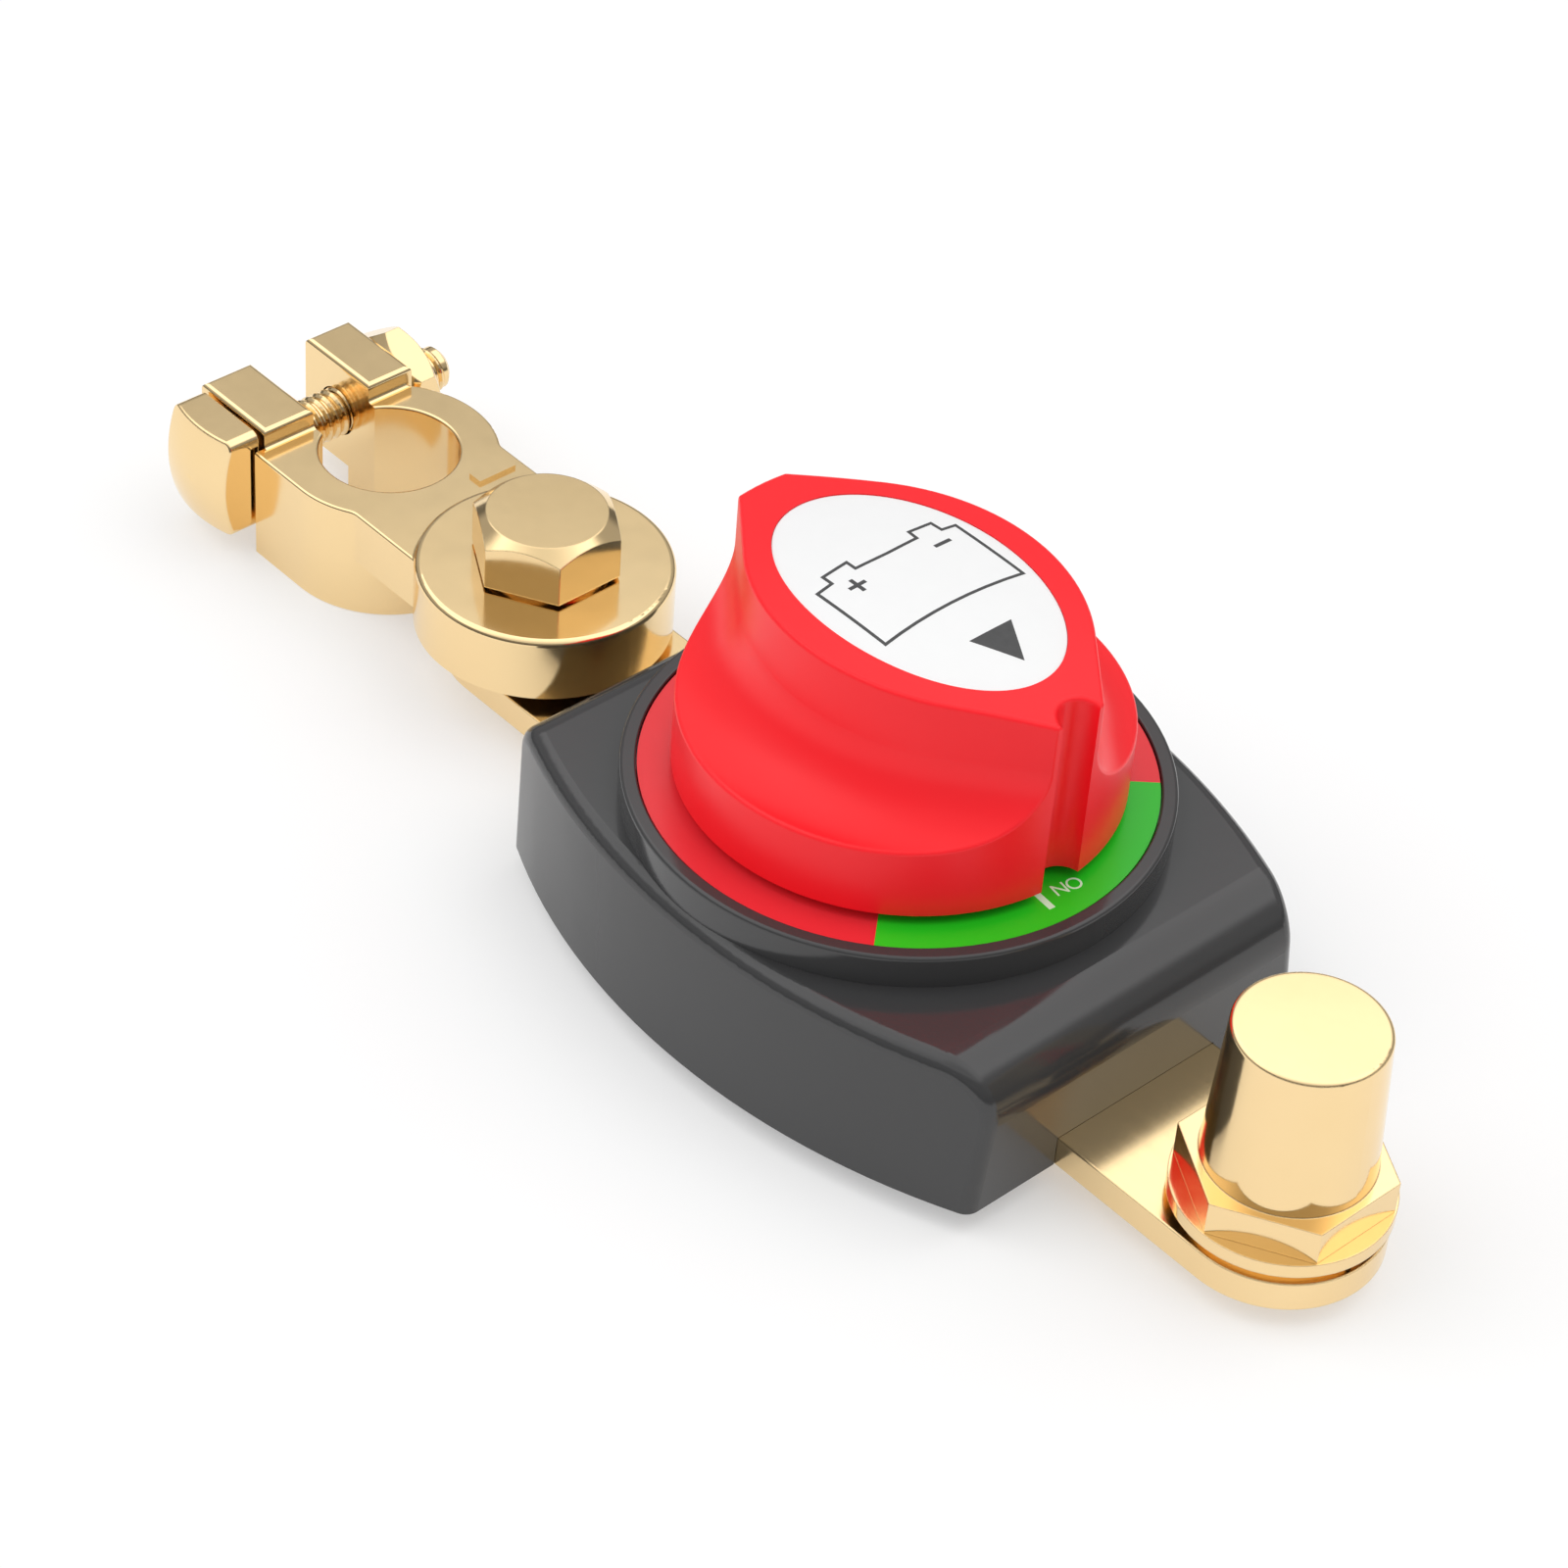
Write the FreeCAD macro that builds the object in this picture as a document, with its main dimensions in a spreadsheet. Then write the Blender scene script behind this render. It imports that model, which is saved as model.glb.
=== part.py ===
import FreeCAD, Part
import math
import os
import re
import Sketcher

# Battery terminal disconnect switch, in millimetres, +Z up.
# The origin lies on the knob's axis, level with the underside of the two brass bars.
# +X runs from the battery clamp to the outer post. The switch stands at ON.
SIZES = {
    # Clearances
    "running_gap": 0.05,
    "fit_gap": 0.15,
    # Brass bars that carry the current
    "bar_width": 24.58,
    "bar_thick": 3.97,
    "bar_inner": 7.0,
    "bar_edge": 0.2,
    "arm_reach": 62.5,
    "post_reach": 63.03,
    # Moulded cover
    "cover_left": 37.0,
    "cover_right": 41.07,
    "cover_corner": 25.3,
    "cover_half": 34.46,
    "cover_high": 19.0,
    "shoulder_left": 24.9,
    "shoulder_right": 22.9,
    "shoulder_radius": 91.0,
    "left_round": 4.0,
    "right_round": 7.0,
    "edge_round": 2.0,
    "cover_wall": 2.6,
    "ledge_wall": 4.4,
    "ceiling_thick": 4.5,
    # Collar round the knob, and the dial let into it
    "collar_radius": 31.8,
    "collar_top": 23.2,
    "collar_lip": 1.9,
    "collar_edge": 0.5,
    "collar_inner_edge": 0.25,
    "dial_thick": 1.2,
    "dial_sink": 0.33,
    "dial_hole": 19.0,
    "gland_radius": 9.0,
    "gland_top": 25.5,
    # Chamber of the contact carrier, and the lug that stops it
    "chamber_radius": 22.6,
    "chamber_top": 20.0,
    "stop_width": 4.0,
    "stop_depth": 2.6,
    "turn_angle": 90.0,
    # Base plate, gasket and cover screws
    "base_thick": 6.5,
    "gasket_thick": 1.5,
    "gasket_width": 1.9,
    "boss_x": 28.0,
    "boss_y": 19.0,
    "boss_radius": 3.2,
    "screw_radius": 1.5,
    "screw_long": 11.0,
    "screw_head_radius": 2.8,
    "screw_head_thick": 1.8,
    # Contacts, bridge, carrier and spring
    "contact_x": 15.0,
    "contact_radius": 5.0,
    "contact_top": 8.0,
    "rivet_radius": 2.5,
    "bridge_reach": 21.0,
    "bridge_half": 7.0,
    "bridge_thick": 3.0,
    "bridge_lift": 0.1,
    "carrier_radius": 22.2,
    "carrier_low": 15.0,
    "carrier_thick": 4.4,
    "carrier_boss": 12.0,
    "spring_seat": 1.0,
    "spring_radius": 10.8,
    "spring_wire": 0.55,
    "washer_thick": 0.5,
    "washer_radius": 9.0,
    # Spindle and its seal
    "spindle_radius": 5.0,
    "spindle_square": 7.0,
    "spindle_top": 34.0,
    "pivot_radius": 3.0,
    "pivot_low": 1.6,
    "seal_section": 0.98,
    "knob_screw_radius": 2.1,
    "knob_screw_head": 4.5,
    "knob_screw_head_thick": 2.4,
    "knob_screw_long": 10.0,
    # Knob
    "knob_radius": 26.0,
    "knob_low": 24.2,
    "knob_wall": 3.8,
    "knob_floor": 30.3,
    "hub_radius": 8.0,
    "hub_lift": 1.6,
    "crown_high": 49.9,
    "crown_radius": 170.0,
    "grip_half": 16.8,
    "grip_arc": 26.8,
    "grip_turn": 17.0,
    "scoop_low": 33.0,
    "scoop_radius": 8.5,
    "groove_radius": 2.8,
    "grip_edge": 0.5,
    # Oval plate in the knob's top
    "plate_long": 19.5,
    "plate_short": 12.75,
    "plate_seat": 47.2,
    "plate_sink": 0.15,
    # Outer post and its washers
    "post_top": 30.24,
    "post_top_radius": 8.75,
    "post_foot_radius": 9.8,
    "post_edge": 0.5,
    "flange_low": 7.2,
    "flange_top": 11.53,
    "flange_corner": 12.37,
    "stud_radius": 4.0,
    "stud_low": 0.2,
    "post_washer_radius": 12.6,
    "post_spring_radius": 10.6,
    # Clamp arm
    "disc_radius": 16.03,
    "disc_low": 5.4,
    "disc_top": 14.05,
    "disc_edge": 0.8,
    "neck_half": 11.7,
    "neck_corner": 2.0,
    "arm_long": 30.77,
    "clamp_bore": 8.87,
    "ring_radius": 14.0,
    "ring_top": 12.7,
    "ring_low": -2.8,
    "cast_edge": 0.35,
    "ear_root": 9.33,
    "ear_root_corner": 0.6,
    "ear_tip": 22.43,
    "near_ear_inner": 4.8,
    "near_ear_outer": 12.5,
    "far_ear_inner": 3.9,
    "far_ear_outer": 10.9,
    "ear_low": 0.2,
    "ear_top": 15.25,
    "ear_edge": 0.7,
    "mark_from": 10.57,
    "mark_to": 12.67,
    "mark_inner": 4.4,
    "mark_outer": 10.1,
    "mark_high": 0.5,
    # Clamp bolt and nut
    "bolt_beyond": 15.8,
    "bolt_z": 7.7,
    "bolt_radius": 3.2,
    "bolt_core": 2.85,
    "bolt_plain": 6.0,
    "bolt_end": 20.6,
    "bolt_chamfer": 0.6,
    "bolt_collar_thick": 0.55,
    "bolt_collar_radius": 5.2,
    "bolt_head_width": 12.0,
    "bolt_head_high": 14.4,
    "bolt_head_thick": 6.3,
    "bolt_head_corner": 1.2,
    "bolt_head_edge": 0.3,
    "bolt_dome_radius": 20.0,
    "nut_corner": 8.3,
    "nut_thick": 4.4,
    "nut_slope": 0.8,
    "nut_inner_chamfer": 1.4,
    # Hex screw that fixes the arm to its bar
    "arm_screw_radius": 5.0,
    "arm_screw_low": 0.3,
    "arm_face_thick": 0.45,
    "arm_face_radius": 7.9,
    "arm_head_corner": 9.6,
    "arm_head_top": 21.7,
    "arm_head_circle": 7.45,
    "arm_head_drop": 1.7,
    "arm_spring_radius": 9.2,
}

UP = FreeCAD.Vector(0, 0, 1)
# Smallest change of volume that counts as one, in cubic millimetres
LEAST_CHANGE = 0.01
# How far two places may differ and still count as the same, in millimetres
CLOSE = 0.01

doc = FreeCAD.newDocument("BatterySwitch")
sheet = doc.addObject("Spreadsheet::Sheet", "Sizes")
for row, (name, size) in enumerate(SIZES.items(), start=1):
    sheet.set("A%d" % row, name)
    sheet.set("B%d" % row, str(size))
    sheet.setAlias("B%d" % row, name)
doc.recompute()

pieces = []


def formula(text):
    """A formula in the names of the sizes, with each name pointed at its cell."""
    def cell(match):
        word = match.group(0)
        return "Sizes." + word if word in SIZES else word
    return re.sub(r"[a-z][a-z_]*", cell, text)


def value(text):
    """What a formula comes to with the sizes as they stand."""
    return float(sheet.evalExpression(formula(text)))


def bind(thing, field, text):
    """Ties one field of an object to the sheet."""
    thing.setExpression(field, formula(text))


class Drawing:
    """A sketch in which every point and radius is tied to the sheet."""

    def __init__(self, piece, name, plane, lift):
        self.sketch = piece.body.newObject("Sketcher::SketchObject", name)
        features = piece.body.Origin.OriginFeatures
        support = [feature for feature in features if feature.Role == plane][0]
        self.sketch.AttachmentSupport = [(support, "")]
        self.sketch.MapMode = "FlatFace"
        if lift != "0":
            bind(self.sketch, "AttachmentOffset.Base.z", lift)

    def rule(self, kind, *target, size):
        """Adds a measured constraint and ties it to its formula."""
        constraint = Sketcher.Constraint(kind, *target, value(size))
        index = self.sketch.addConstraint(constraint)
        bind(self.sketch, "Constraints[%d]" % index, size)

    def pin(self, edge, point, across, along):
        """Ties one point of an edge to its two coordinates."""
        for kind, size, axis in (("DistanceX", across, -2), ("DistanceY", along, -1)):
            if size == "0":
                self.sketch.addConstraint(Sketcher.Constraint("PointOnObject", edge, point, axis))
            else:
                self.rule(kind, -1, 1, edge, point, size=size)

    def circle(self, radius, across="0", along="0"):
        centre = FreeCAD.Vector(value(across), value(along), 0)
        edge = self.sketch.addGeometry(Part.Circle(centre, UP, value(radius)), False)
        self.rule("Radius", edge, size=radius)
        self.pin(edge, 3, across, along)
        return self

    def ellipse(self, long_half, short_half):
        tip = FreeCAD.Vector(value(long_half), 0, 0)
        side = FreeCAD.Vector(0, value(short_half), 0)
        edge = self.sketch.addGeometry(Part.Ellipse(tip, side, FreeCAD.Vector()), False)
        self.sketch.exposeInternalGeometry(edge)
        self.sketch.addConstraint(Sketcher.Constraint("Coincident", edge, 3, -1, 1))
        self.sketch.addConstraint(Sketcher.Constraint("Horizontal", edge + 1))
        self.rule("Distance", edge + 1, size="2 * " + long_half)
        self.rule("Distance", edge + 2, size="2 * " + short_half)
        return self

    def chain(self, corners, arcs=None, closed=True):
        """Edges from corner to corner. arcs gives an edge its radius, with +1 where it turns left
        on its way and -1 where it turns right."""
        arcs = arcs or {}
        points = [FreeCAD.Vector(value(across), value(along), 0) for across, along in corners]
        count = len(corners) if closed else len(corners) - 1
        ends = []
        for number in range(count):
            start = points[number]
            finish = points[(number + 1) % len(points)]
            if number in arcs:
                radius, turn = arcs[number]
                edge = self.arc(start, finish, value(radius), turn)
                self.rule("Radius", edge, size=radius)
                ends.append((edge, 1, 2) if turn > 0 else (edge, 2, 1))
            else:
                edge = self.sketch.addGeometry(Part.LineSegment(start, finish), False)
                ends.append((edge, 1, 2))
        for number, (edge, first, last) in enumerate(ends):
            self.pin(edge, first, *corners[number])
            if closed or number + 1 < count:
                after, start_point, _ = ends[(number + 1) % count]
                self.sketch.addConstraint(Sketcher.Constraint("Coincident", edge, last, after, start_point))
            else:
                self.pin(edge, last, *corners[number + 1])
        return self

    def arc(self, start, finish, radius, turn):
        chord = finish - start
        rise = math.sqrt(max(radius ** 2 - (chord.Length / 2) ** 2, 0))
        left = UP.cross(chord).normalize()
        centre = (start + finish) / 2 + left * rise * turn
        first, last = (start, finish) if turn > 0 else (finish, start)
        begin = math.atan2(first.y - centre.y, first.x - centre.x)
        end = math.atan2(last.y - centre.y, last.x - centre.x)
        curve = Part.ArcOfCircle(Part.Circle(centre, UP, radius), begin, end)
        return self.sketch.addGeometry(curve, False)

    def box(self, left, low, right, high):
        return self.chain([(left, low), (right, low), (right, high), (left, high)])

    def hexagon(self, corner, across="0", along="0", start=0):
        points = []
        for turn in range(6):
            angle = "%d deg" % (start + 60 * turn)
            points.append(("%s + %s * cos(%s)" % (across, corner, angle),
                           "%s + %s * sin(%s)" % (along, corner, angle)))
        return self.chain(points)


class Piece:
    """One physical piece, built as a body."""

    def __init__(self, label, x="0", z="0"):
        self.body = doc.addObject("PartDesign::Body", label)
        self.body.Label = label
        for field, text in (("Placement.Base.x", x), ("Placement.Base.z", z)):
            if text != "0":
                bind(self.body, field, text)
        pieces.append(self.body)

    def draw(self, name, plane="XY_Plane", lift="0"):
        return Drawing(self, name, plane, lift)

    def feature(self, kind, name, drawing, adds):
        """A feature on a drawing, checked once the rest of its settings are in."""
        made = self.body.newObject("PartDesign::" + kind, name)
        made.Profile = drawing.sketch
        made.Refine = True
        self.adds = adds
        return made

    def settle(self, made, before):
        """Recomputes and makes sure that the feature changed the solid the right way."""
        doc.recompute()
        after = made.Shape.Volume
        if made.isValid() and abs(after - before) > LEAST_CHANGE and (after > before) == self.adds:
            return
        raise RuntimeError("%s of %s changed nothing or failed: %.3f to %.3f"
                           % (made.Name, self.body.Label, before, after))

    def volume(self):
        return self.body.Tip.Shape.Volume if self.body.Tip else 0.0

    def pad(self, drawing, length, name, reverse=False, both=False):
        before = self.volume()
        made = self.feature("Pad", name, drawing, adds=True)
        bind(made, "Length", length)
        made.Reversed = reverse
        if both:
            made.SideType = "Symmetric"
        self.settle(made, before)

    def pocket(self, drawing, length, name, up=False, both=False):
        before = self.volume()
        made = self.feature("Pocket", name, drawing, adds=False)
        bind(made, "Length", length)
        made.Reversed = up
        if both:
            made.SideType = "Symmetric"
        self.settle(made, before)

    def turn(self, drawing, name):
        """Revolves the drawing all the way round its upright axis."""
        before = self.volume()
        made = self.feature("Revolution", name, drawing, adds=True)
        made.ReferenceAxis = (drawing.sketch, ["V_Axis"])
        made.Angle = 360
        self.settle(made, before)

    def groove(self, drawing, name):
        """Cuts the drawing away all the way round its upright axis."""
        before = self.volume()
        made = self.feature("Groove", name, drawing, adds=False)
        made.ReferenceAxis = (drawing.sketch, ["V_Axis"])
        made.Angle = 360
        self.settle(made, before)

    def loft(self, drawing, upper, name):
        """Joins the drawing to an upper one with straight walls."""
        before = self.volume()
        made = self.feature("AdditiveLoft", name, drawing, adds=True)
        made.Sections = [upper.sketch]
        made.Ruled = True
        self.settle(made, before)

    def sweep_away(self, drawing, path, name):
        before = self.volume()
        made = self.feature("SubtractivePipe", name, drawing, adds=False)
        made.Spine = path.sketch
        made.Mode = "Standard"
        self.settle(made, before)

    def round_off(self, radius, chosen, name):
        """Rounds every edge that chosen picks by its place."""
        before = self.volume()
        base = self.body.Tip
        edges = ["Edge%d" % number for number, edge in enumerate(base.Shape.Edges, start=1)
                 if chosen(edge)]
        if not edges:
            raise RuntimeError("%s of %s finds no edge" % (name, self.body.Label))
        made = self.body.newObject("PartDesign::Fillet", name)
        made.Base = (base, edges)
        bind(made, "Radius", radius)
        doc.recompute()
        if not made.isValid() or abs(made.Shape.Volume - before) < LEAST_CHANGE:
            raise RuntimeError("%s of %s changed nothing or failed" % (name, self.body.Label))


def level(edge, height):
    """Says whether an edge lies flat at a height."""
    return abs(edge.BoundBox.ZMin - height) < CLOSE and abs(edge.BoundBox.ZMax - height) < CLOSE


def upright(edge, half):
    """Says whether an edge stands upright at a distance from the long axis."""
    box = edge.BoundBox
    return box.XLength < CLOSE and box.YLength < CLOSE and abs(abs(box.Center.y) - value(half)) < CLOSE


# Long sides of the cover are arcs through the corners and the widest point
cover_long = "(cover_left + cover_right)"
cover_bow = "(cover_half - cover_corner)"
side_radius = "((%s / 2) ^ 2 + %s ^ 2) / (2 * %s)" % (cover_long, cover_bow, cover_bow)


def cover_outline(drawing, inset):
    """The cover's outline seen from above, moved inwards by an inset."""
    radius = "(%s - (%s))" % (side_radius, inset)
    corner = ("(sqrt(%s ^ 2 - (%s / 2 - (%s)) ^ 2) - (%s - cover_half))"
              % (radius, cover_long, inset, side_radius))
    left = "-cover_left + (%s)" % inset
    right = "cover_right - (%s)" % inset
    corners = [(left, "-" + corner), (right, "-" + corner), (right, corner), (left, corner)]
    return drawing.chain(corners, {0: (radius, 1), 2: (radius, 1)})


def build_cover():
    cover = Piece("housing_cover")
    shoulder = cover.draw("Shoulder", lift="cover_high")
    shoulder.chain([("-cover_left", "-shoulder_left"), ("cover_right", "-shoulder_right"),
                    ("cover_right", "shoulder_right"), ("-cover_left", "shoulder_left")],
                   {0: ("shoulder_radius", 1), 2: ("shoulder_radius", 1)})
    cover.loft(cover_outline(cover.draw("Foot"), "0"), shoulder, "Shell")
    right = cover.draw("RightRounding", "XZ_Plane")
    right.chain([("cover_right - right_round", "cover_high"),
                 ("cover_right", "cover_high - right_round"),
                 ("cover_right + fit_gap", "cover_high - right_round"),
                 ("cover_right + fit_gap", "cover_high + fit_gap"),
                 ("cover_right - right_round", "cover_high + fit_gap")],
                {0: ("right_round", -1)})
    cover.pocket(right, "3 * cover_half", "RoundRightEnd", both=True)
    left = cover.draw("LeftRounding", "XZ_Plane")
    left.chain([("-cover_left", "cover_high - left_round"),
                ("-cover_left + left_round", "cover_high"),
                ("-cover_left + left_round", "cover_high + fit_gap"),
                ("-cover_left - fit_gap", "cover_high + fit_gap"),
                ("-cover_left - fit_gap", "cover_high - left_round")],
               {0: ("left_round", -1)})
    cover.pocket(left, "3 * cover_half", "RoundLeftEnd", both=True)
    top = value("cover_high")
    longest = value("cover_right")
    cover.round_off("edge_round", lambda edge: level(edge, top) and edge.BoundBox.XLength > longest,
                    "SideEdges")
    collar = cover.draw("Collar", lift="cover_high - edge_round").circle("collar_radius")
    cover.pad(collar, "collar_top - cover_high + edge_round", "CollarWall")
    rim = value("collar_top")
    cover.round_off("collar_edge", lambda edge: level(edge, rim), "CollarEdge")
    recess = cover.draw("DialRecess", lift="collar_top").circle("collar_radius - collar_lip")
    cover.pocket(recess, "dial_thick + dial_sink", "DialSeat")
    inner = 2 * value("collar_radius - collar_lip")
    cover.round_off("collar_inner_edge",
                    lambda edge: level(edge, rim) and edge.BoundBox.XLength < inner + CLOSE,
                    "CollarInnerEdge")
    gland = cover.draw("Gland", lift="chamber_top").circle("gland_radius")
    cover.pad(gland, "gland_top - chamber_top", "SpindleGland")
    inside = cover_outline(cover.draw("BaseOpening"), "cover_wall")
    cover.pocket(inside, "base_thick + gasket_thick", "BaseSeat", up=True)
    room = cover_outline(cover.draw("Room"), "ledge_wall")
    cover.pocket(room, "cover_high - ceiling_thick", "ContactRoom", up=True)
    chamber = cover.draw("Chamber").circle("chamber_radius")
    cover.pocket(chamber, "chamber_top", "CarrierChamber", up=True)
    lug = cover.draw("StopLug", lift="carrier_low")
    lug.box("-stop_width / 2", "-chamber_radius - 1", "stop_width / 2", "-chamber_radius + stop_depth")
    cover.pad(lug, "chamber_top + 0.5 - carrier_low", "Stop")
    bosses = cover.draw("Bosses", lift="base_thick")
    pilots = cover.draw("Pilots", lift="base_thick")
    for side in ("", "-"):
        for end in ("", "-"):
            bosses.circle("boss_radius", end + "boss_x", side + "boss_y")
            pilots.circle("screw_radius + running_gap", end + "boss_x", side + "boss_y")
    cover.pad(bosses, "cover_high - ceiling_thick - base_thick + 0.5", "ScrewBosses")
    cover.pocket(pilots, "screw_long + fit_gap - base_thick + screw_head_thick", "ScrewHoles", up=True)
    slots = cover.draw("BarSlots")
    slot = "bar_width / 2 + running_gap"
    slots.box("-2 * cover_left", "-(%s)" % slot, "2 * cover_right", slot)
    cover.pocket(slots, "bar_thick + running_gap", "Slots", up=True)
    bore = cover.draw("Bore").circle("spindle_radius + running_gap")
    cover.pocket(bore, "2 * gland_top", "SpindleBore", up=True)
    seal = cover.draw("SealSeat", lift="gland_top")
    seal.circle("spindle_radius + 2 * seal_section + 2 * running_gap")
    cover.pocket(seal, "2 * seal_section + running_gap", "SealPocket")


def build_base():
    plate = Piece("base_plate")
    inset = "cover_wall + fit_gap"
    plate.pad(cover_outline(plate.draw("Outline"), inset), "base_thick", "Plate")
    channels = plate.draw("Channels")
    half = "bar_width / 2 + fit_gap"
    channels.box("-2 * cover_left", "-(%s)" % half, "-bar_inner + fit_gap", half)
    channels.box("bar_inner - fit_gap", "-(%s)" % half, "2 * cover_right", half)
    plate.pocket(channels, "bar_thick + running_gap", "BarChannels", up=True)
    windows = plate.draw("Windows")
    for side in ("", "-"):
        windows.circle("contact_radius + fit_gap", side + "contact_x")
    plate.pocket(windows, "2 * base_thick", "ContactWindows", up=True)
    pivot = plate.draw("Pivot", lift="base_thick").circle("pivot_radius + running_gap")
    plate.pocket(pivot, "base_thick - pivot_low + fit_gap", "PivotSocket")
    holes = plate.draw("Holes")
    sinks = plate.draw("Sinks")
    for side in ("", "-"):
        for end in ("", "-"):
            holes.circle("screw_radius + fit_gap", end + "boss_x", side + "boss_y")
            sinks.circle("screw_head_radius + fit_gap", end + "boss_x", side + "boss_y")
    plate.pocket(holes, "2 * base_thick", "ScrewHoles", up=True)
    plate.pocket(sinks, "screw_head_thick + fit_gap", "HeadSeats", up=True)


def build_gasket():
    gasket = Piece("cover_gasket")
    ring = cover_outline(gasket.draw("Outline", lift="base_thick"), "cover_wall + fit_gap")
    cover_outline(ring, "cover_wall + fit_gap + gasket_width")
    gasket.pad(ring, "gasket_thick", "Ring")


def build_bar(label, side, reach, hole):
    """A flat bar with a round outer end. side is - for the battery side, hole the tapped radius."""
    bar = Piece(label)
    half = "bar_width / 2"
    inner = side + "bar_inner"
    centre = side + reach
    tip = "%s%s bar_width / 2" % (centre, side or "+")
    turn = 1 if side == "" else -1
    outline = bar.draw("Outline")
    outline.chain([(inner, "-" + half), (centre, "-" + half), (tip, "0"), (centre, half), (inner, half)],
                  {1: (half, turn), 2: (half, turn)})
    outline.circle(hole, centre)
    outline.circle("rivet_radius + running_gap", side + "contact_x")
    bar.pad(outline, "bar_thick", "Bar")
    width = value(half)
    outside = value("cover_left") / 2

    def rim(edge):
        box = edge.BoundBox
        flat = box.ZLength < CLOSE
        long_side = box.XLength > outside and abs(abs(box.Center.y) - width) < CLOSE
        round_end = abs(abs(box.Center.y) - width / 2) < CLOSE and box.YLength > width - CLOSE
        return flat and (long_side or round_end)

    bar.round_off("bar_edge", rim, "Edges")


def build_contact(label, side):
    contact = Piece(label, x=side + "contact_x")
    half = contact.draw("Half", "XZ_Plane")
    half.chain([("0", "0"), ("rivet_radius", "0"), ("rivet_radius", "bar_thick"),
                ("contact_radius", "bar_thick"), ("contact_radius", "contact_top"),
                ("0", "contact_top")])
    contact.turn(half, "Button")


def build_bridge():
    bridge = Piece("contact_bridge")
    tip = "sqrt(bridge_reach ^ 2 - bridge_half ^ 2)"
    outline = bridge.draw("Outline", lift="contact_top + bridge_lift")
    outline.chain([("-" + tip, "-bridge_half"), (tip, "-bridge_half"), (tip, "bridge_half"),
                   ("-" + tip, "bridge_half")], {1: ("bridge_reach", 1), 3: ("bridge_reach", 1)})
    half = "carrier_boss / 2 + fit_gap"
    outline.box("-(%s)" % half, "-(%s)" % half, half, half)
    bridge.pad(outline, "bridge_thick", "Bridge")


def build_carrier():
    carrier = Piece("contact_carrier")
    rim = carrier.draw("Rim", lift="carrier_low").circle("carrier_radius")
    carrier.pad(rim, "carrier_thick", "Disc")
    half = "carrier_boss / 2"
    boss = carrier.draw("Boss", lift="contact_top + 2 * bridge_lift")
    boss.box("-" + half, "-" + half, half, half)
    carrier.pad(boss, "carrier_low - contact_top", "Driver")
    seat = carrier.draw("SpringSeat", lift="carrier_low")
    seat.circle("spring_radius - spring_wire - fit_gap")
    seat.circle("spring_radius + spring_wire + fit_gap")
    carrier.pocket(seat, "spring_seat", "SeatGroove", up=True)
    hole = "spindle_square / 2 + running_gap"
    square = carrier.draw("Square")
    square.box("-(%s)" % hole, "-(%s)" % hole, hole, hole)
    carrier.pocket(square, "2 * chamber_top", "SpindleSquare", up=True)
    # The lug stands at -90 degrees. The notch leaves room for it from ON to OFF.
    inner = "(chamber_radius - stop_depth - 2 * fit_gap)"
    outer = "(carrier_radius + 1)"
    lug = "asin((stop_width / 2 + fit_gap) / %s)" % inner
    first = "(-90 deg + %s)" % lug
    last = "(-90 deg - turn_angle * 1 deg - %s)" % lug

    def at(radius, angle):
        return ("%s * cos(%s)" % (radius, angle), "%s * sin(%s)" % (radius, angle))

    notch = carrier.draw("StopNotch", lift="carrier_low")
    notch.chain([at(inner, last), at(outer, last), at(outer, first), at(inner, first)],
                {1: (outer, 1), 3: (inner, -1)})
    carrier.pocket(notch, "carrier_thick", "Notch", up=True)


def build_spring():
    spring = Piece("contact_spring")
    low = "(contact_top + bridge_lift + bridge_thick + spring_wire)"
    high = "(carrier_low + spring_seat - spring_wire)"
    wire = spring.draw("Wire", "XZ_Plane", "0").circle("spring_wire", "spring_radius", low)
    coil = spring.body.newObject("PartDesign::AdditiveHelix", "Coil")
    coil.Profile = wire.sketch
    coil.ReferenceAxis = (wire.sketch, ["V_Axis"])
    coil.Mode = "height-turns-angle"
    bind(coil, "Height", "%s - %s" % (high, low))
    coil.Turns = 2.0
    coil.Angle = 0
    doc.recompute()


def build_ring(label, inner, outer, low, high, x="0"):
    """A plain flat washer."""
    ring = Piece(label, x=x)
    outline = ring.draw("Outline", lift=low).circle(outer).circle(inner)
    ring.pad(outline, "(%s) - (%s)" % (high, low), "Ring")


def build_split_ring(label, inner, outer, low, high, x):
    """A spring washer, split on one side."""
    ring = Piece(label, x=x)
    outline = ring.draw("Outline", lift=low).circle(outer).circle(inner)
    ring.pad(outline, "(%s) - (%s)" % (high, low), "Ring")
    split = ring.draw("Split", lift=low).box("0", "-spring_wire", "2 * (%s)" % outer, "spring_wire")
    ring.pocket(split, "(%s) - (%s)" % (high, low), "Gap", up=True)


def build_spindle():
    spindle = Piece("spindle")
    half = "spindle_square / 2"
    square = spindle.draw("Square", lift="base_thick + fit_gap").box("-" + half, "-" + half, half, half)
    spindle.pad(square, "spindle_top - base_thick - fit_gap", "SquareBar")
    shaft = spindle.draw("Shaft", lift="carrier_low + carrier_thick").circle("spindle_radius")
    spindle.pad(shaft, "knob_low + hub_lift - carrier_low - carrier_thick", "Journal")
    pivot = spindle.draw("Pivot", lift="pivot_low").circle("pivot_radius")
    spindle.pad(pivot, "base_thick + 2 * fit_gap - pivot_low", "PivotPin")
    tapped = spindle.draw("Tapped", lift="spindle_top").circle("knob_screw_radius + running_gap")
    spindle.pocket(tapped, "knob_screw_long", "ScrewHole")


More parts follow.
